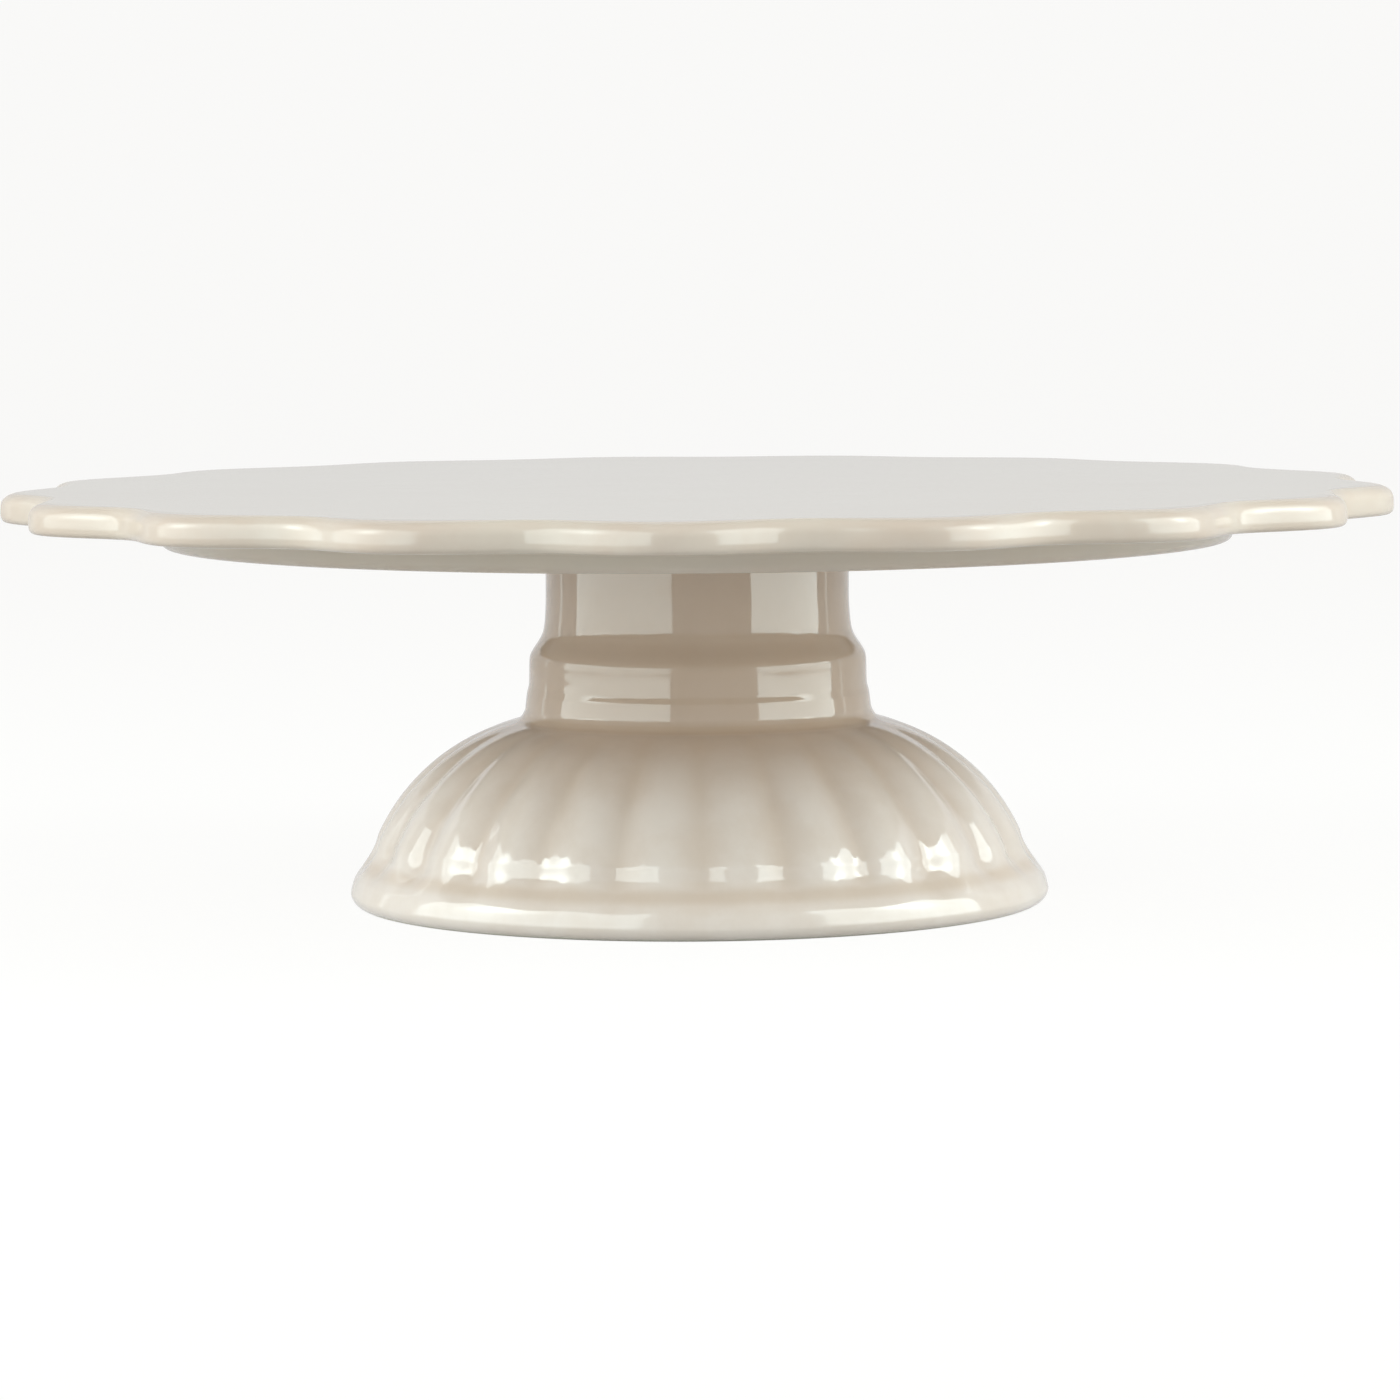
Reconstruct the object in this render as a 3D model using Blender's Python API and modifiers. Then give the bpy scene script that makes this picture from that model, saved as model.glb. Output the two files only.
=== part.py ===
"""Scalloped ceramic cake stand: a pressed plate with a foot ring, luted with slip to a slip-cast pedestal.

Metres, +Z up. The stand rests on z = 0 with its axis on world Z, and its front faces -Y.
"""

import math

import bpy

# Overall
PLATE_TOP = 0.0897
TOUCH_GAP = 0.0003

# Plate
PLATE_RADIUS = 0.1490
RIM_THICKNESS = 0.0065
CENTRE_THICKNESS = 0.0082
LOBES = 17
LOBE_DEPTH = 0.0078
LOBE_SOFTNESS = 1.3
LOBE_INNER_RADIUS = 0.135
PLATE_TURN_DEG = -92.4
STEPS_PER_LOBE = 8

# Section of the plate's rim, from the flat top round to the underside: out from its radius, up from its top
RIM_POINTS = [
    (-0.0065, 0.0),
    (-0.0036, -0.00015),
    (-0.0019, -0.0006),
    (-0.0008, -0.0013),
    (-0.0002, -0.0022),
    (0.0, -0.0034),
    (0.0, -0.0049),
    (-0.00025, -0.0058),
    (-0.00095, -0.00635),
    (-0.0022, -RIM_THICKNESS),
]

# Foot ring under the plate
RING_RADIUS = 0.115
RING_WIDTH = 0.0110
RING_BOTTOM = 0.0777
RING_FILLET = 0.0022
RING_EDGE_ROUND = 0.0016

# Pedestal neck and collar
NECK_RADIUS = 0.0326
NECK_WALL = 0.0052
NECK_EDGE_ROUND = 0.0008
NECK_STRAIGHT_END = 0.0650
COLLAR_POINTS = [
    (0.0329, 0.0606),
    (0.0334, 0.0582),
    (0.0347, 0.0557),
    (0.0358, 0.0539),
    (0.0363, 0.0517),
    (0.0362, 0.0488),
    (0.0366, 0.0459),
    (0.0372, 0.0427),
    (0.0378, 0.0405),
]
COLLAR_INNER_POINTS = [
    (0.0314, 0.0410),
    (0.0308, 0.0530),
    (0.0282, 0.0610),
]

# Bell, an arc in profile, with convex flutes round it
BELL_CENTRE = (0.0289, -0.0043)
BELL_RADIUS = 0.0448
BELL_WALL = 0.0055
BELL_TOP_DEG = 76.0
BELL_BOTTOM_DEG = 25.0
BELL_INSIDE_TOP_DEG = 78.0
BELL_INSIDE_BOTTOM_DEG = 14.0
FLUTES = 25
FLUTE_DEPTH = 0.0015
FLUTE_SOFTNESS = 0.40
FLUTE_TOP = (0.0405, 0.0270)
FLUTE_BOTTOM = (0.0050, 0.0130)
FLUTE_TURN_DEG = -82.7
INSIDE_FLUTE_SHARE = 0.5
STEPS_PER_FLUTE = 6

# Rolled rim of the base
BASE_RADIUS = 0.0752
BASE_POINTS = [
    (0.0702, 0.0124),
    (0.0714, 0.0101),
    (0.0731, 0.0077),
    (0.0746, 0.0053),
]
BASE_ROUND = 0.0028
FOOT_INNER_RADIUS = 0.0690
FOOT_INNER_ROUND = 0.0010

# Slip joint between the neck and the plate
SLIP_THICKNESS = 0.0012
SLIP_INNER_RADIUS = 0.0282
SLIP_LIP = 0.0006
SLIP_SPREAD = 0.0046
SLIP_DROP = 0.0044
SLIP_STEPS = 60

UNDERSIDE = PLATE_TOP - CENTRE_THICKNESS
SLIP_TOP = UNDERSIDE - TOUCH_GAP
SLIP_BOTTOM = SLIP_TOP - SLIP_THICKNESS
NECK_TOP = SLIP_BOTTOM - TOUCH_GAP


def clear_scene():
    for obj in list(bpy.data.objects):
        bpy.data.objects.remove(obj, do_unlink=True)


def make_material(name, colour, roughness):
    material = bpy.data.materials.new(name)
    material.use_nodes = True
    shader = material.node_tree.nodes["Principled BSDF"]
    shader.inputs["Base Color"].default_value = (*colour, 1.0)
    shader.inputs["Roughness"].default_value = roughness
    shader.inputs["Metallic"].default_value = 0.0
    material.diffuse_color = (*colour, 1.0)
    return material


def arc(centre, radii, start_deg, end_deg, steps):
    """Points on an elliptic arc in the profile plane, both ends included."""
    points = []
    for i in range(steps + 1):
        angle = math.radians(start_deg + (end_deg - start_deg) * i / steps)
        points.append((centre[0] + radii[0] * math.cos(angle), centre[1] + radii[1] * math.sin(angle)))
    return points


def smoothstep(low, high, value):
    t = min(1.0, max(0.0, (value - low) / (high - low)))
    return t * t * (3.0 - 2.0 * t)


def ripple(angle, count, softness):
    """1 at the crest of each lobe round a circle and 0 between them; a low softness pinches the valleys."""
    wave = math.hypot(math.cos(count * angle / 2.0), softness)
    return (wave - softness) / (math.hypot(1.0, softness) - softness)


def turned(name, profile, steps, closed, collection, material):
    """A solid turned about Z. The profile's (radius, height) points start at the top of its outer side."""
    mesh = bpy.data.meshes.new(name)
    edges = [(i, i + 1) for i in range(len(profile) - 1)]
    if closed:
        edges.append((len(profile) - 1, 0))
    mesh.from_pydata([(radius, 0.0, height) for radius, height in profile], edges, [])
    obj = bpy.data.objects.new(name, mesh)
    collection.objects.link(obj)
    screw = obj.modifiers.new("turn", "SCREW")
    screw.steps = steps
    screw.render_steps = steps
    screw.use_merge_vertices = True
    screw.merge_threshold = 0.00001
    screw.use_smooth_shade = True
    graph = bpy.context.evaluated_depsgraph_get()
    solid = bpy.data.meshes.new_from_object(obj.evaluated_get(graph))
    solid.name = name
    obj.modifiers.clear()
    obj.data = solid
    bpy.data.meshes.remove(mesh)
    solid.materials.clear()
    solid.materials.append(material)
    return obj


def plate_profile():
    rim_bottom = PLATE_TOP - RIM_THICKNESS
    ring_top_radius = RING_RADIUS + RING_FILLET
    ring_inner = RING_RADIUS - RING_WIDTH
    edge = (RING_EDGE_ROUND, RING_EDGE_ROUND)
    fillet = (RING_FILLET, RING_FILLET)
    profile = [(0.0, PLATE_TOP), (LOBE_INNER_RADIUS, PLATE_TOP)]
    profile += [(PLATE_RADIUS + out, PLATE_TOP + up) for out, up in RIM_POINTS]
    profile += [(LOBE_INNER_RADIUS, rim_bottom)]
    profile += arc((ring_top_radius, rim_bottom - RING_FILLET), fillet, 90, 180, 3)
    profile += arc((RING_RADIUS - RING_EDGE_ROUND, RING_BOTTOM + RING_EDGE_ROUND), edge, 0, -90, 3)
    profile += arc((ring_inner + RING_EDGE_ROUND, RING_BOTTOM + RING_EDGE_ROUND), edge, -90, -180, 2)
    profile += [(ring_inner - RING_EDGE_ROUND, UNDERSIDE), (0.0, UNDERSIDE)]
    return profile


def shape_lobes(mesh):
    """Draws the plate's rim in between its lobes, fading out towards the flat of the plate."""
    for vertex in mesh.vertices:
        x, y, z = vertex.co
        radius = math.hypot(x, y)
        share = smoothstep(LOBE_INNER_RADIUS, PLATE_RADIUS, radius)
        if share == 0.0:
            continue
        valley = 1.0 - ripple(math.atan2(y, x), LOBES, LOBE_SOFTNESS)
        scale = 1.0 - share * LOBE_DEPTH * valley / radius
        vertex.co = (x * scale, y * scale, z)


def pedestal_profile():
    bell_inner = (BELL_RADIUS - BELL_WALL,) * 2
    neck_inner = NECK_RADIUS - NECK_WALL
    edge = (NECK_EDGE_ROUND, NECK_EDGE_ROUND)
    foot_round = (FOOT_INNER_ROUND, FOOT_INNER_ROUND)
    profile = arc((NECK_RADIUS - NECK_EDGE_ROUND, NECK_TOP - NECK_EDGE_ROUND), edge, 90, 0, 2)
    profile += [(NECK_RADIUS, NECK_STRAIGHT_END)]
    profile += COLLAR_POINTS
    profile += arc(BELL_CENTRE, (BELL_RADIUS, BELL_RADIUS), BELL_TOP_DEG, BELL_BOTTOM_DEG, 7)
    profile += BASE_POINTS
    profile += arc((BASE_RADIUS - BASE_ROUND, BASE_ROUND), (BASE_ROUND, BASE_ROUND), 0, -90, 3)
    profile += arc((FOOT_INNER_RADIUS, FOOT_INNER_ROUND), foot_round, -90, -180, 1)
    profile += arc(BELL_CENTRE, bell_inner, BELL_INSIDE_BOTTOM_DEG, BELL_INSIDE_TOP_DEG, 4)
    profile += COLLAR_INNER_POINTS
    profile += [(neck_inner, NECK_STRAIGHT_END + NECK_WALL), (neck_inner, NECK_TOP)]
    return profile


def shape_flutes(mesh):
    """Cuts the valleys between the flutes square to the bell's arc, and softer ones on its inside."""
    for vertex in mesh.vertices:
        x, y, z = vertex.co
        radius = math.hypot(x, y)
        share = smoothstep(FLUTE_TOP[0], FLUTE_TOP[1], z) * smoothstep(FLUTE_BOTTOM[0], FLUTE_BOTTOM[1], z)
        if share == 0.0:
            continue
        from_centre = (radius - BELL_CENTRE[0], z - BELL_CENTRE[1])
        distance = math.hypot(*from_centre)
        if distance < BELL_RADIUS - BELL_WALL / 2.0:
            share *= INSIDE_FLUTE_SHARE
        valley = 1.0 - ripple(math.atan2(y, x), FLUTES, FLUTE_SOFTNESS)
        sunk = 1.0 - share * FLUTE_DEPTH * valley / distance
        new_radius = BELL_CENTRE[0] + from_centre[0] * sunk
        new_height = BELL_CENTRE[1] + from_centre[1] * sunk
        vertex.co = (x * new_radius / radius, y * new_radius / radius, new_height)


def slip_profile():
    inner = NECK_RADIUS + TOUCH_GAP
    outer = inner + SLIP_LIP + SLIP_SPREAD
    low = SLIP_TOP - SLIP_DROP
    fillet = arc((outer, low), (SLIP_SPREAD, SLIP_DROP - SLIP_LIP), 90, 180, 3)
    profile = [(outer, SLIP_TOP)] + fillet
    profile += [(inner, low), (inner, SLIP_BOTTOM), (SLIP_INNER_RADIUS, SLIP_BOTTOM)]
    profile += [(SLIP_INNER_RADIUS, SLIP_TOP)]
    return profile


def build():
    clear_scene()
    stand = bpy.data.collections.new("cake_stand")
    bpy.context.scene.collection.children.link(stand)

    plate_glaze = make_material("plate_glaze", (0.62, 0.575, 0.50), 0.12)
    plate = turned("plate", plate_profile(), LOBES * STEPS_PER_LOBE, False, stand, plate_glaze)
    shape_lobes(plate.data)
    plate.rotation_euler.z = math.radians(PLATE_TURN_DEG)

    slip = make_material("fired_slip", (0.58, 0.53, 0.45), 0.20)
    turned("slip_joint", slip_profile(), SLIP_STEPS, True, stand, slip)

    pedestal_glaze = make_material("pedestal_glaze", (0.60, 0.55, 0.47), 0.12)
    pedestal = turned(
        "pedestal", pedestal_profile(), FLUTES * STEPS_PER_FLUTE, True, stand, pedestal_glaze
    )
    shape_flutes(pedestal.data)
    pedestal.rotation_euler.z = math.radians(FLUTE_TURN_DEG)


build()
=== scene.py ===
import math
import random

import bpy
from mathutils import Matrix, Vector, noise


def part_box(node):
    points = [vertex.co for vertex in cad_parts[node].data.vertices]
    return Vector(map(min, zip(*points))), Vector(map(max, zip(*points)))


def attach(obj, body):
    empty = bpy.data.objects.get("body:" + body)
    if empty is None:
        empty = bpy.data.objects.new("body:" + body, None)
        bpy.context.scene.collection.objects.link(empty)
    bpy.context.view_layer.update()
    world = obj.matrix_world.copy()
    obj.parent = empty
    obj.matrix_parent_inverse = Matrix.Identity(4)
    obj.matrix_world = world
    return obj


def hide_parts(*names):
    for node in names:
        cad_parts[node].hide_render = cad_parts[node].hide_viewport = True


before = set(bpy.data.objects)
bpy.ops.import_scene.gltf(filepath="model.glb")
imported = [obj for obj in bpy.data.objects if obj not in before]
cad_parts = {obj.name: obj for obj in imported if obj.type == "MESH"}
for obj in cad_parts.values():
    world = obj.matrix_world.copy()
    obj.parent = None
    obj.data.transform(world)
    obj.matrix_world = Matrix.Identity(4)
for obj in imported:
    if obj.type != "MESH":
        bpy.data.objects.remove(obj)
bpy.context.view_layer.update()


# ---------------------------------------------------------------------------------------------------
# Pedestal: one hollow stoneware shell, slip-cast in a plaster mould that carries the bead round the
# neck, the flutes of the bell and the rolled base rim. The wall is even, so the flutes show again,
# softer, on the inside. It stands on a flat foot that is wiped clean of glaze before the firing.
# ---------------------------------------------------------------------------------------------------
MM = 0.001
pedestal_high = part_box("pedestal")[1]
base_radius = pedestal_high.x / MM
neck_top = pedestal_high.z / MM

neck_radius = 32.6
neck_wall = 5.2
neck_edge_round = 0.8
neck_and_bead = [
    (32.62, 66.0), (32.66, 64.5), (32.77, 62.3), (32.98, 60.0), (33.40, 58.1), (34.25, 56.45),
    (35.25, 54.95), (35.92, 53.7), (36.18, 52.5), (36.23, 51.0), (36.27, 49.6), (36.31, 48.2),
    (36.36, 47.3), (36.45, 46.7), (36.61, 46.05), (36.79, 45.35), (36.90, 44.6), (37.11, 42.9),
    (37.36, 41.5), (38.35, 39.9),
]
neck_inside = [(31.6, 41.0), (30.9, 47.0), (30.6, 53.0), (28.6, 60.0), (27.4, 68.0)]

bell_centre = (28.9, -4.3)
bell_arc = 44.8
bell_wall = 5.5
bell_top_deg, bell_bottom_deg = 76, 25
bell_inside_bottom_deg, bell_inside_top_deg = 12, 78
base_roll = [(70.2, 12.4), (71.4, 10.1), (72.95, 7.8), (74.4, 5.6)]
base_roll_height = 2.8
foot_outer = base_radius - base_roll_height
foot_inner = 69.0
foot_inner_round = 1.0

flutes = 25
flute_depth = 1.5
flute_valley = 0.40
flute_top = (40.5, 27.0)
flute_foot = (5.0, 13.0)
flute_turn = math.radians(-82.7)
inside_flute_share = 0.5
steps_per_flute = 15

crease_height, bead_height = 40.2, 51.8
roll_groove_height, roll_crest_height = 9.0, 3.6


def ease(low, high, value):
    """0 below low, 1 above high and a smooth step between them; low may be the larger."""
    t = min(1.0, max(0.0, (value - low) / (high - low)))
    return t * t * (3.0 - 2.0 * t)


def swell(angle, count, softness):
    """1 on the crest of each of the swellings round a circle, 0 between them; softness opens the valleys."""
    wave = math.hypot(math.cos(count * angle / 2.0), softness)
    return (wave - softness) / (math.hypot(1.0, softness) - softness)


def curve_through(points, steps):
    """A smooth curve through profile points, with steps stretches between each two."""
    line = [points[0], *points, points[-1]]
    found = []
    for a, b, c, d in zip(line, line[1:], line[2:], line[3:]):
        for i in range(steps):
            t = i / steps
            found.append(tuple(
                0.5 * (2 * b[k] + (c[k] - a[k]) * t + (2 * a[k] - 5 * b[k] + 4 * c[k] - d[k]) * t ** 2
                       + (3 * b[k] - a[k] - 3 * c[k] + d[k]) * t ** 3)
                for k in (0, 1)
            ))
    return found + [points[-1]]


def rounded(start, corner, end, steps):
    """A quarter of an ellipse in profile, from start to end, that would meet in a sharp corner."""
    found = []
    for i in range(steps + 1):
        angle = math.pi / 2.0 * i / steps
        along, across = 1.0 - math.sin(angle), 1.0 - math.cos(angle)
        found.append(tuple(corner[k] + (start[k] - corner[k]) * along + (end[k] - corner[k]) * across
                           for k in (0, 1)))
    return found


def arc(centre, radius, start_deg, end_deg, steps):
    angles = [math.radians(start_deg + (end_deg - start_deg) * i / steps) for i in range(steps + 1)]
    return [(centre[0] + radius * math.cos(a), centre[1] + radius * math.sin(a)) for a in angles]


def straight(start, end, steps):
    """Points between two ends of a straight stretch, without the ends."""
    return [tuple(start[k] + (end[k] - start[k]) * i / steps for k in (0, 1)) for i in range(1, steps)]


def turned_piece(name, profile, steps, form, coat, material):
    """A closed solid turned about Z. The profile is in millimetres, (radius, height), and starts at the top.

    form(radius, height, angle) gives the radius and height that the mould really has there, and
    coat(radius, height, angle) the glaze there: how much it pools, how thin it is, how bare the clay is.
    On the pedestal the pool also holds painted shade under the plate.
    """
    open_ends = profile[0][0] == 0.0
    rings = profile[1:-1] if open_ends else profile
    verts, coats = [], []
    for radius, height in rings:
        for i in range(steps):
            angle = 2.0 * math.pi * i / steps
            coats.append(coat(radius, height, angle))
            r, z = form(radius, height, angle)
            verts.append((r * MM * math.cos(angle), r * MM * math.sin(angle), z * MM))
    faces = []
    joins = len(rings) - 1 if open_ends else len(rings)
    for j in range(joins):
        upper, lower = j * steps, (j + 1) % len(rings) * steps
        for i in range(steps):
            k = (i + 1) % steps
            faces.append((upper + i, lower + i, lower + k, upper + k))
    if open_ends:
        for ring, (radius, height), up in ((0, profile[0], True), (len(rings) - 1, profile[-1], False)):
            middle = len(verts)
            verts.append((0.0, 0.0, height * MM))
            coats.append(coat(radius, height, 0.0))
            for i in range(steps):
                a, b = ring * steps + i, ring * steps + (i + 1) % steps
                faces.append((middle, a, b) if up else (middle, b, a))
    mesh = bpy.data.meshes.new(name)
    mesh.from_pydata(verts, [], faces)
    mesh.shade_smooth()
    layer = mesh.color_attributes.new("glaze_coat", "FLOAT_COLOR", "POINT")
    for value, (pool, thin, bare) in zip(layer.data, coats):
        value.color = (pool, thin, bare, 1.0)
    mesh.materials.append(material)
    piece = bpy.data.objects.new(name, mesh)
    bpy.context.scene.collection.objects.link(piece)
    return piece


def keep_inside(piece, node):
    """Draws the piece in, by a few hundredths of a millimetre, so that it keeps to its CAD solid's box."""
    low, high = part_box(node)
    for axis in (0, 1):
        reach = [v.co[axis] for v in piece.data.vertices]
        share = min(1.0, low[axis] / min(reach), high[axis] / max(reach))
        for v in piece.data.vertices:
            v.co[axis] *= share


def glaze_group():
    """What a dipped, once-fired glaze does over stoneware, for every glazed piece of the stand, with painted
    shade where the Pool input carries it.
    """
    group = bpy.data.node_groups.new("dipped_glaze", "ShaderNodeTree")
    face = group.interface
    for name, default in (("Glaze", (0.6, 0.55, 0.46, 1)), ("Pooled Glaze", (0.5, 0.46, 0.38, 1)),
                          ("Thin Glaze", (0.65, 0.56, 0.46, 1)), ("Bare Clay", (0.7, 0.66, 0.58, 1)),
                          ("Speck", (0.16, 0.10, 0.06, 1))):
        face.new_socket(name, in_out="INPUT", socket_type="NodeSocketColor").default_value = default
    for name in ("Pool", "Thin", "Bare"):
        face.new_socket(name, in_out="INPUT", socket_type="NodeSocketFloat")
    face.new_socket("Color", in_out="OUTPUT", socket_type="NodeSocketColor")
    for name in ("Roughness", "Coat", "Height"):
        face.new_socket(name, in_out="OUTPUT", socket_type="NodeSocketFloat")
    nodes, links = group.nodes, group.links
    given = nodes.new("NodeGroupInput")
    result = nodes.new("NodeGroupOutput")
    place = nodes.new("ShaderNodeTexCoord").outputs["Object"]

    def noise_at(scale, detail, rough=0.5):
        node = nodes.new("ShaderNodeTexNoise")
        node.inputs["Scale"].default_value = scale
        node.inputs["Detail"].default_value = detail
        node.inputs["Roughness"].default_value = rough
        links.new(place, node.inputs["Vector"])
        return node.outputs["Fac"]

    def ranged(value, low, high, to_low=0.0, to_high=1.0):
        node = nodes.new("ShaderNodeMapRange")
        node.interpolation_type = "SMOOTHSTEP"
        for name, number in (("From Min", low), ("From Max", high), ("To Min", to_low), ("To Max", to_high)):
            node.inputs[name].default_value = number
        links.new(value, node.inputs["Value"])
        return node.outputs["Result"]

    def maths(operation, a, b):
        node = nodes.new("ShaderNodeMath")
        node.operation = operation
        for socket, value in zip(node.inputs, (a, b)):
            if isinstance(value, (int, float)):
                socket.default_value = value
            else:
                links.new(value, socket)
        return node.outputs[0]

    def mixed(share, a, b, blend="MIX"):
        node = nodes.new("ShaderNodeMix")
        node.data_type = "RGBA"
        node.blend_type = blend
        for socket, value in ((node.inputs[0], share), (node.inputs[6], a), (node.inputs[7], b)):
            if isinstance(value, (int, float, tuple)):
                socket.default_value = value
            else:
                links.new(value, socket)
        return node.outputs[2]

    def scattered(scale, size, share):
        """Small round marks, one in some of the cells of a jittered grid."""
        cells = nodes.new("ShaderNodeTexVoronoi")
        cells.inputs["Scale"].default_value = scale
        links.new(place, cells.inputs["Vector"])
        apart = nodes.new("ShaderNodeSeparateColor")
        links.new(cells.outputs["Color"], apart.inputs[0])
        chosen = maths("GREATER_THAN", apart.outputs[0], 1.0 - share)
        return maths("MULTIPLY", chosen, ranged(cells.outputs["Distance"], size, size * 0.4))

    drift = ranged(noise_at(11.0, 2.0), 0.3, 0.7)
    mottle = noise_at(90.0, 4.0, 0.6)
    fine = noise_at(700.0, 2.0)
    specks = scattered(130.0, 0.035, 0.06)
    pinholes = scattered(210.0, 0.03, 0.08)

    thin = maths("MULTIPLY", given.outputs["Thin"], ranged(mottle, 0.3, 0.65, 0.55, 1.0))
    pool = maths("MULTIPLY", given.outputs["Pool"], ranged(drift, 0.0, 1.0, 0.75, 1.0))
    colour = mixed(thin, given.outputs["Glaze"], given.outputs["Thin Glaze"])
    # Pool also carries painted shade where a piece's coat puts it (the pedestal under the plate).
    colour = mixed(pool, colour, given.outputs["Pooled Glaze"])
    colour = mixed(ranged(drift, 0.0, 1.0, 0.0, 0.22), colour, given.outputs["Thin Glaze"])
    colour = mixed(ranged(mottle, 0.35, 0.7, 0.0, 0.16), colour, given.outputs["Pooled Glaze"])
    colour = mixed(specks, colour, given.outputs["Speck"])
    ragged = maths("ADD", given.outputs["Bare"], ranged(noise_at(160.0, 3.0), 0.3, 0.7, -0.18, 0.18))
    bare = ranged(ragged, 0.45, 0.55)
    clay = mixed(ranged(noise_at(420.0, 5.0, 0.7), 0.35, 0.7, 0.0, 0.5), given.outputs["Bare Clay"],
                 given.outputs["Thin Glaze"])
    links.new(mixed(bare, colour, clay), result.inputs["Color"])

    gloss = ranged(fine, 0.3, 0.7, 0.045, 0.085)
    gloss = maths("ADD", gloss, maths("MULTIPLY", thin, 0.12))
    covered = maths("SUBTRACT", 1.0, maths("MAXIMUM", thin, bare))
    links.new(maths("MULTIPLY", covered, 0.35), result.inputs["Coat"])
    links.new(maths("ADD", gloss, maths("MULTIPLY", bare, 0.6)), result.inputs["Roughness"])

    height = maths("ADD", noise_at(26.0, 2.0), maths("MULTIPLY", noise_at(110.0, 2.0), 0.10))
    height = maths("ADD", height, maths("MULTIPLY", fine, 0.006))
    height = maths("SUBTRACT", height, maths("MULTIPLY", pinholes, 0.10))
    height = maths("ADD", height, maths("MULTIPLY", maths("MULTIPLY", bare, noise_at(900.0, 4.0, 0.7)), 0.30))
    links.new(height, result.inputs["Height"])
    return group


dipped_glaze = glaze_group()


def glazed(name, colours, bump):
    """A glazed stoneware material; colours are those of the glaze group's first inputs, in linear light."""
    material = bpy.data.materials.new(name)
    material.use_nodes = True
    nodes, links = material.node_tree.nodes, material.node_tree.links
    shader = nodes["Principled BSDF"]
    shader.inputs["IOR"].default_value = 1.52
    shader.inputs["Coat Roughness"].default_value = 0.02
    coat = nodes.new("ShaderNodeAttribute")
    coat.attribute_name = "glaze_coat"
    apart = nodes.new("ShaderNodeSeparateColor")
    links.new(coat.outputs["Color"], apart.inputs[0])
    glaze = nodes.new("ShaderNodeGroup")
    glaze.node_tree = dipped_glaze
    for socket, colour in colours.items():
        glaze.inputs[socket].default_value = (*colour, 1.0)
    for socket, channel in (("Pool", 0), ("Thin", 1), ("Bare", 2)):
        links.new(apart.outputs[channel], glaze.inputs[socket])
    relief = nodes.new("ShaderNodeBump")
    relief.inputs["Strength"].default_value = 1.0
    relief.inputs["Distance"].default_value = bump
    links.new(glaze.outputs["Height"], relief.inputs["Height"])
    links.new(glaze.outputs["Color"], shader.inputs["Base Color"])
    links.new(glaze.outputs["Roughness"], shader.inputs["Roughness"])
    links.new(glaze.outputs["Coat"], shader.inputs["Coat Weight"])
    links.new(relief.outputs["Normal"], shader.inputs["Normal"])
    return material


def pedestal_profile():
    bell = arc(bell_centre, bell_arc, bell_top_deg, bell_bottom_deg, 56)
    bell_inside = arc(bell_centre, bell_arc - bell_wall, bell_inside_bottom_deg, bell_inside_top_deg, 40)
    inner_neck = neck_radius - neck_wall
    line = rounded((neck_radius - neck_edge_round, neck_top), (neck_radius, neck_top),
                   (neck_radius, neck_top - neck_edge_round), 4)
    line += straight(line[-1], neck_and_bead[0], 6)
    line += curve_through([*neck_and_bead, bell[0]], 4)
    line += bell[1:-1]
    line += curve_through([bell[-1], *base_roll, (base_radius, base_roll_height)], 4)
    line += rounded((base_radius, base_roll_height), (base_radius, 0.0), (foot_outer, 0.0), 10)[1:]
    line += straight((foot_outer, 0.0), (foot_inner, 0.0), 4)
    line += rounded((foot_inner, 0.0), (foot_inner - foot_inner_round, 0.0),
                    (foot_inner - foot_inner_round, foot_inner_round), 4)
    line += bell_inside
    line += curve_through(neck_inside, 4)
    line += straight(neck_inside[-1], (inner_neck, neck_top - neck_edge_round), 4)
    line += rounded((inner_neck, neck_top - neck_edge_round), (inner_neck, neck_top),
                    (inner_neck + neck_edge_round, neck_top), 3)
    return line


mould = random.Random(25)
flute_cut = [mould.uniform(0.88, 1.10) for _ in range(flutes)]
flute_lean = [mould.uniform(-0.010, 0.010) for _ in range(flutes)]


def flute_share(height):
    """How deep the flutes are at a height: they rise from the crease and die out above the base roll."""
    return ease(*flute_top, height) * ease(*flute_foot, height)


def pedestal_form(radius, height, angle):
    turned = angle - flute_turn
    share = flute_share(height)
    if share > 0.0:
        place = turned / (2.0 * math.pi) * flutes % flutes
        before, part = int(place), ease(0.0, 1.0, place % 1.0)
        after = (before + 1) % flutes
        cut = flute_cut[before] * (1.0 - part) + flute_cut[after] * part
        lean = flute_lean[before] * (1.0 - part) + flute_lean[after] * part
        across, up = radius - bell_centre[0], height - bell_centre[1]
        reach = math.hypot(across, up)
        if reach < bell_arc - bell_wall / 2.0:
            share *= inside_flute_share
        valley = 1.0 - swell(turned + lean, flutes, flute_valley)
        sunk = 1.0 - share * flute_depth * cut * valley / reach
        radius, height = bell_centre[0] + across * sunk, bell_centre[1] + up * sunk
    if height > 1.5:
        where = Vector((math.cos(angle) * radius, math.sin(angle) * radius, height))
        radius += 0.07 * noise.noise(where * 0.05) + 0.03 * noise.noise(where * 0.16)
    return radius, height


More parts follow.
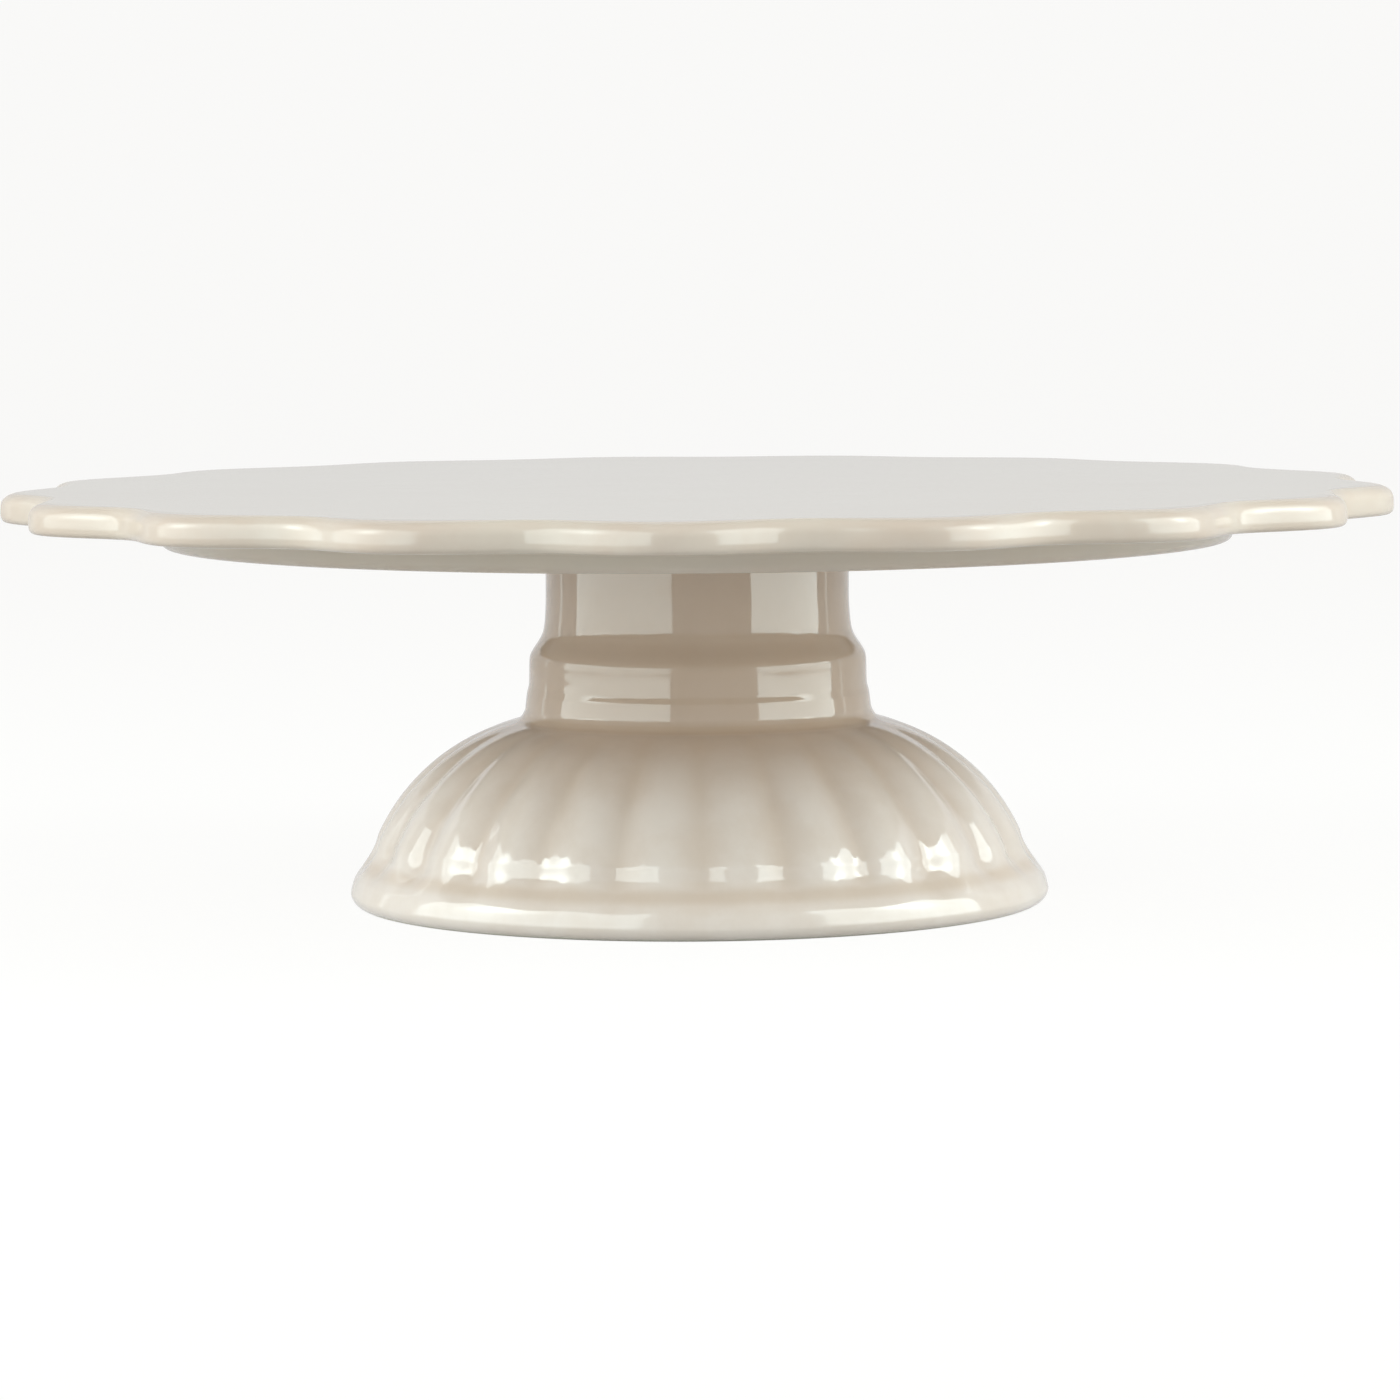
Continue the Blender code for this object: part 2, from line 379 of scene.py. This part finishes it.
def pedestal_coat(radius, height, angle):
    outside = math.hypot(radius - bell_centre[0], height - bell_centre[1]) > bell_arc - bell_wall / 2.0
    valley = 1.0 - swell(angle - flute_turn, flutes, flute_valley)
    # Painted shade: the neck and the top of the bell, which sit under the plate, get the dark pooled glaze
    # colour in place of the plate's shadow and its dark reflection.
    painted_shade_under_plate = ease(24.0, 47.0, height) * 0.95
    in_valleys = flute_share(height) ** 0.5 * valley ** 1.5 * 0.35
    in_crease = ease(2.6, 0.4, abs(height - crease_height)) * (radius > neck_radius)
    in_roll_groove = ease(2.4, 0.3, abs(height - roll_groove_height)) * 0.5 * outside
    pool = max(min(1.0, painted_shade_under_plate + in_valleys), in_crease, in_roll_groove)
    on_flutes = flute_share(height) * ease(0.72, 1.0, 1.0 - valley) * 0.45
    on_bead = ease(2.6, 0.3, abs(height - bead_height)) * 0.6 * (radius > 35.0)
    on_roll = ease(2.6, 0.3, abs(height - roll_crest_height)) * 0.4 * (radius > 72.0)
    thin = max(on_flutes, on_bead, on_roll)
    bare = ease(0.9, 0.2, height)
    return pool, thin, bare


pedestal = turned_piece(
    "pedestal_glazed", pedestal_profile(), flutes * steps_per_flute, pedestal_form, pedestal_coat,
    glazed("pedestal_glaze_fired", {
        "Glaze": (0.77, 0.66, 0.605),
        # Pooled Glaze here is also the painted shade on the neck and the top of the bell under the plate.
        "Pooled Glaze": (0.525, 0.365, 0.252),
        "Thin Glaze": (0.765, 0.655, 0.595),
        "Bare Clay": (0.74, 0.69, 0.60),
        "Speck": (0.20, 0.13, 0.08),
    }, 0.00010),
)
keep_inside(pedestal, "pedestal")
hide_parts("pedestal")
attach(pedestal, "root")


# ---------------------------------------------------------------------------------------------------
# Slip joint: a ring of thick luting slip that is brushed on the scored neck before the plate is set on
# it. It squeezes out to a fillet, which is wiped smooth with a wet finger and glazed over with the rest.
# ---------------------------------------------------------------------------------------------------
slip_low, slip_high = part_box("slip_joint")
slip_top, slip_drop_end = slip_high.z / MM, slip_low.z / MM
slip_outer = slip_high.x / MM
slip_bore = 28.2
slip_neck = neck_radius + 0.3
slip_lip = 0.6
slip_lip_round = 0.4
slip_seat = slip_top - 1.2


def slip_profile():
    line = rounded((slip_outer, slip_top), (slip_outer, slip_top - slip_lip),
                   (slip_outer - slip_lip_round, slip_top - slip_lip), 3)
    hollow = rounded((slip_neck + slip_lip, slip_drop_end), (slip_neck + slip_lip, slip_top - slip_lip),
                     (slip_outer - slip_lip_round, slip_top - slip_lip), 12)
    line += hollow[::-1][1:]
    line += [(slip_neck, slip_drop_end)]
    line += straight((slip_neck, slip_drop_end), (slip_neck, slip_seat), 3) + [(slip_neck, slip_seat)]
    line += straight((slip_neck, slip_seat), (slip_bore, slip_seat), 3) + [(slip_bore, slip_seat)]
    line += [(slip_bore, slip_top)]
    return line


def slip_form(radius, height, angle):
    if slip_neck + 0.1 < radius and height < slip_top - 0.1:
        where = Vector((math.cos(angle) * radius, math.sin(angle) * radius, height))
        radius -= 0.12 * (1.0 + noise.noise(where * 0.25))
    return radius, height


def slip_coat(radius, height, angle):
    pool = ease(slip_outer + 1.0, slip_outer - 3.0, radius) * 0.8
    return pool, 0.0, 1.0 if radius < neck_radius else 0.0


slip_joint = turned_piece(
    "slip_fillet", slip_profile(), 240, slip_form, slip_coat,
    glazed("luting_slip_fired", {
        "Glaze": (0.64, 0.53, 0.42),
        "Pooled Glaze": (0.54, 0.435, 0.325),
        "Thin Glaze": (0.68, 0.555, 0.44),
        "Bare Clay": (0.70, 0.65, 0.56),
        "Speck": (0.20, 0.13, 0.08),
    }, 0.00020),
)
keep_inside(slip_joint, "slip_joint")
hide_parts("slip_joint")
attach(slip_joint, "root")


# ---------------------------------------------------------------------------------------------------
# Plate: a slab of stoneware pressed over a plaster hump, with a foot ring turned on its underside and
# the scalloped rim sponged round. It is flat on top, glazed all over, and thinnest in glaze at the rim.
# ---------------------------------------------------------------------------------------------------
plate_low, plate_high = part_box("plate")
plate_top, ring_bottom = plate_high.z / MM, plate_low.z / MM
plate_radius = max(math.hypot(v.co.x, v.co.y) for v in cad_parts["plate"].data.vertices) / MM
rim_thickness = 6.5
rim_section = [
    (-6.5, 0.0), (-3.6, -0.15), (-1.9, -0.6), (-0.8, -1.3), (-0.2, -2.2), (0.0, -3.4),
    (0.0, -4.9), (-0.25, -5.8), (-0.95, -6.35), (-2.2, -6.5),
]
underside = plate_top - 8.2
lobes = 17
lobe_depth = 7.8
lobe_valley = 1.3
lobe_from = 135.0
lobe_turn = math.radians(-92.4)
ring_radius = 115.0
ring_width = 11.0
ring_fillet = 2.2
ring_edge_round = 1.6
rim_top_width = 6.5
steps_per_lobe = 32


def plate_profile():
    rim_bottom = plate_top - rim_thickness
    ring_inner = ring_radius - ring_width
    line = [(0.0, plate_top)]
    line += straight((0.0, plate_top), (lobe_from, plate_top), 12)
    line += straight((lobe_from - 1.0, plate_top), (plate_radius - rim_top_width, plate_top), 8)
    line += curve_through([(plate_radius + out, plate_top + up) for out, up in rim_section], 5)
    line += straight(line[-1], (ring_radius + ring_fillet, rim_bottom), 14)
    line += rounded((ring_radius + ring_fillet, rim_bottom), (ring_radius, rim_bottom),
                    (ring_radius, rim_bottom - ring_fillet), 8)
    line += rounded((ring_radius, ring_bottom + ring_edge_round), (ring_radius, ring_bottom),
                    (ring_radius - ring_edge_round, ring_bottom), 8)
    line += straight(line[-1], (ring_inner + ring_edge_round, ring_bottom), 4)
    line += rounded((ring_inner + ring_edge_round, ring_bottom), (ring_inner, ring_bottom),
                    (ring_inner, ring_bottom + ring_edge_round), 6)
    line += rounded((ring_inner, underside - ring_edge_round), (ring_inner, underside),
                    (ring_inner - ring_edge_round, underside), 6)
    line += straight(line[-1], (30.0, underside), 10) + [(30.0, underside), (12.0, underside)]
    line += [(0.0, underside)]
    return line


def lobe_height(angle):
    return swell(angle - lobe_turn, lobes, lobe_valley)


def plate_form(radius, height, angle):
    share = ease(lobe_from, plate_radius, radius)
    radius -= share * lobe_depth * (1.0 - lobe_height(angle))
    if radius > 60.0 and height < plate_top - 0.01:
        where = Vector((math.cos(angle) * radius, math.sin(angle) * radius, height))
        radius += 0.10 * noise.noise(where * 0.04)
    return radius, height


def plate_coat(radius, height, angle):
    from_fillet = math.hypot(radius - ring_radius - 1.0, height - plate_top + rim_thickness)
    in_fillet = ease(3.2, 0.3, from_fillet) * 0.3
    under_rim = 0.3 * (height < plate_top - rim_thickness + 0.3) * ease(118.0, 140.0, radius)
    on_rim = ease(plate_radius - 7.0, plate_radius - 1.0, radius) * (0.7 + 0.3 * lobe_height(angle))
    on_ring = ease(3.0, 0.8, abs(radius - ring_radius)) * ease(1.8, 0.4, height - ring_bottom) * 0.8
    return max(in_fillet, under_rim), max(on_rim, on_ring), 0.0


plate = turned_piece(
    "plate_glazed", plate_profile(), lobes * steps_per_lobe, plate_form, plate_coat,
    glazed("plate_glaze_fired", {
        "Glaze": (0.64, 0.55, 0.47),
        "Pooled Glaze": (0.62, 0.49, 0.37),
        "Thin Glaze": (0.56, 0.44, 0.375),
        "Bare Clay": (0.74, 0.69, 0.60),
        "Speck": (0.20, 0.13, 0.08),
    }, 0.00008),
)
keep_inside(plate, "plate")
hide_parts("plate")
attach(plate, "root")


# ---------------------------------------------------------------------------------------------------
# Stage: a pale floor that sweeps up all round into a pale wall, so that no edge shows from any side.
# It is a shallow dish, flat where the stand rests.
# ---------------------------------------------------------------------------------------------------
stage_flat, stage_bend, stage_wall = 1.9, 0.9, 2.6


def stage_material():
    """Matt white paint that is shown nearly white and even, but throws back little light on the stand."""
    material = bpy.data.materials.new("stage_white")
    material.use_nodes = True
    nodes, links = material.node_tree.nodes, material.node_tree.links
    nodes.clear()

    def matt(level):
        node = nodes.new("ShaderNodeBsdfDiffuse")
        node.inputs["Color"].default_value = (level, level, level * 0.99, 1.0)
        return node.outputs[0]

    def glow(level):
        node = nodes.new("ShaderNodeEmission")
        node.inputs["Color"].default_value = (1.0, 0.995, 0.985, 1.0)
        node.inputs["Strength"].default_value = level
        return node.outputs[0]

    def mix(share, first, second):
        node = nodes.new("ShaderNodeMixShader")
        if isinstance(share, float):
            node.inputs[0].default_value = share
        else:
            links.new(share, node.inputs[0])
        links.new(first, node.inputs[1])
        links.new(second, node.inputs[2])
        return node.outputs[0]

    path = nodes.new("ShaderNodeLightPath")
    mirrored = mix(path.outputs["Is Glossy Ray"], matt(0.52), glow(0.73))
    seen = mix(0.10, glow(1.02), matt(0.80))
    output = nodes.new("ShaderNodeOutputMaterial")
    links.new(mix(path.outputs["Is Camera Ray"], mirrored, seen), output.inputs["Surface"])
    return material


def make_stage():
    line = [(0.0, 0.0), (0.4, 0.0), (1.0, 0.0), (stage_flat, 0.0)]
    line += [(stage_flat + stage_bend * math.sin(math.radians(a)),
              stage_bend * (1.0 - math.cos(math.radians(a)))) for a in range(6, 91, 6)]
    line += [(stage_flat + stage_bend, stage_wall)]
    steps = 96
    verts = [(0.0, 0.0, 0.0)]
    for radius, height in line[1:]:
        for i in range(steps):
            angle = 2 * math.pi * i / steps
            verts.append((radius * math.cos(angle), radius * math.sin(angle), height))
    faces = [(0, 1 + i, 1 + (i + 1) % steps) for i in range(steps)]
    for j in range(len(line) - 2):
        a, b = 1 + j * steps, 1 + (j + 1) * steps
        faces += [(a + i, b + i, b + (i + 1) % steps, a + (i + 1) % steps) for i in range(steps)]
    mesh = bpy.data.meshes.new("stage")
    mesh.from_pydata(verts, [], faces)
    mesh.shade_smooth()
    mesh.materials.append(stage_material())
    floor = bpy.data.objects.new("stage", mesh)
    bpy.context.scene.collection.objects.link(floor)
    return floor


make_stage()


# ---------------------------------------------------------------------------------------------------
# Light: two tall softboxes that stand close on the left and right, each brighter in front of its lamp,
# two narrow strips of light further back, and an even pale room round them.
# ---------------------------------------------------------------------------------------------------
def softbox(name, near_deg, far_deg, lamp_deg, distance, height, radiance, core):
    """A softbox that spans two bearings seen from the stand, in degrees from the front, + to the right.

    Its cloth is core times as bright in front of its lamp, which stands at a bearing of its own.
    """
    middle, half = math.radians((near_deg + far_deg) / 2.0), math.radians(abs(far_deg - near_deg) / 2.0)
    light = bpy.data.lights.new(name, "AREA")
    light.shape = "RECTANGLE"
    light.size = 2.0 * distance * math.tan(half)
    light.size_y = height
    light.energy = radiance * math.pi * light.size * light.size_y
    light.color = (0.875, 1.0, 0.985)
    light.use_nodes = True
    nodes, links = light.node_tree.nodes, light.node_tree.links
    emission = nodes["Emission"]
    spot = nodes.new("ShaderNodeNewGeometry")
    shift = nodes.new("ShaderNodeVectorMath")
    shift.operation = "SUBTRACT"
    lamp = 0.5 + 0.5 * math.tan(math.radians(lamp_deg) - middle) / math.tan(half)
    shift.inputs[1].default_value = (lamp, 0.45, 0.0)
    narrow = nodes.new("ShaderNodeVectorMath")
    narrow.operation = "MULTIPLY"
    narrow.inputs[1].default_value = (1.5, 1.0, 0.0)
    away = nodes.new("ShaderNodeVectorMath")
    away.operation = "LENGTH"
    glow = nodes.new("ShaderNodeMapRange")
    glow.interpolation_type = "SMOOTHERSTEP"
    for socket, value in (("From Min", 0.36), ("From Max", 0.0), ("To Min", 1.0), ("To Max", core)):
        glow.inputs[socket].default_value = value
    links.new(spot.outputs["Parametric"], shift.inputs[0])
    links.new(shift.outputs["Vector"], narrow.inputs[0])
    links.new(narrow.outputs["Vector"], away.inputs[0])
    links.new(away.outputs["Value"], glow.inputs["Value"])
    links.new(glow.outputs["Result"], emission.inputs["Strength"])
    box = bpy.data.objects.new(name, light)
    bpy.context.scene.collection.objects.link(box)
    box.location = (distance * math.sin(middle), -distance * math.cos(middle), height / 2.0 + 0.001)
    towards = Vector((-box.location.x, -box.location.y, 0.0))
    box.rotation_euler = towards.to_track_quat("-Z", "Y").to_euler()
    box.visible_camera = False
    return box


softbox("softbox_left", -18.4, -103.0, -74.0, 0.80, 1.07, 2.45, 3.1)
softbox("softbox_right", 40.0, 101.5, 76.0, 0.80, 1.07, 3.3, 2.8)
softbox("strip_left", -123.5, -126.5, -125.0, 0.90, 0.90, 0.8, 1.0)
softbox("strip_right", 112.0, 114.0, 113.0, 0.90, 0.90, 1.0, 1.0)

room = bpy.data.worlds.new("room")
bpy.context.scene.world = room
room.use_nodes = True
room.node_tree.nodes["Background"].inputs["Color"].default_value = (1.0, 0.975, 0.94, 1.0)
room.node_tree.nodes["Background"].inputs["Strength"].default_value = 0.40


# ---------------------------------------------------------------------------------------------------
# Camera: low and level with the plate's rim, a long lens a little over a metre away, turned a trifle.
# ---------------------------------------------------------------------------------------------------
lens = bpy.data.cameras.new("camera")
lens.sensor_width = 36.0
lens.lens = 153.0
lens.clip_end = 30.0
camera = bpy.data.objects.new("camera", lens)
bpy.context.scene.collection.objects.link(camera)
stand_point = Vector((-0.0014, -1.277, 0.1511))
aim_point = Vector((0.0004, 0.0, 0.0433))
roll = math.radians(0.46)
camera.matrix_world = (
    Matrix.Translation(stand_point)
    @ (aim_point - stand_point).to_track_quat("-Z", "Y").to_matrix().to_4x4()
    @ Matrix.Rotation(-roll, 4, "Z")
)
bpy.context.scene.camera = camera
bpy.context.scene.view_settings.view_transform = "Standard"
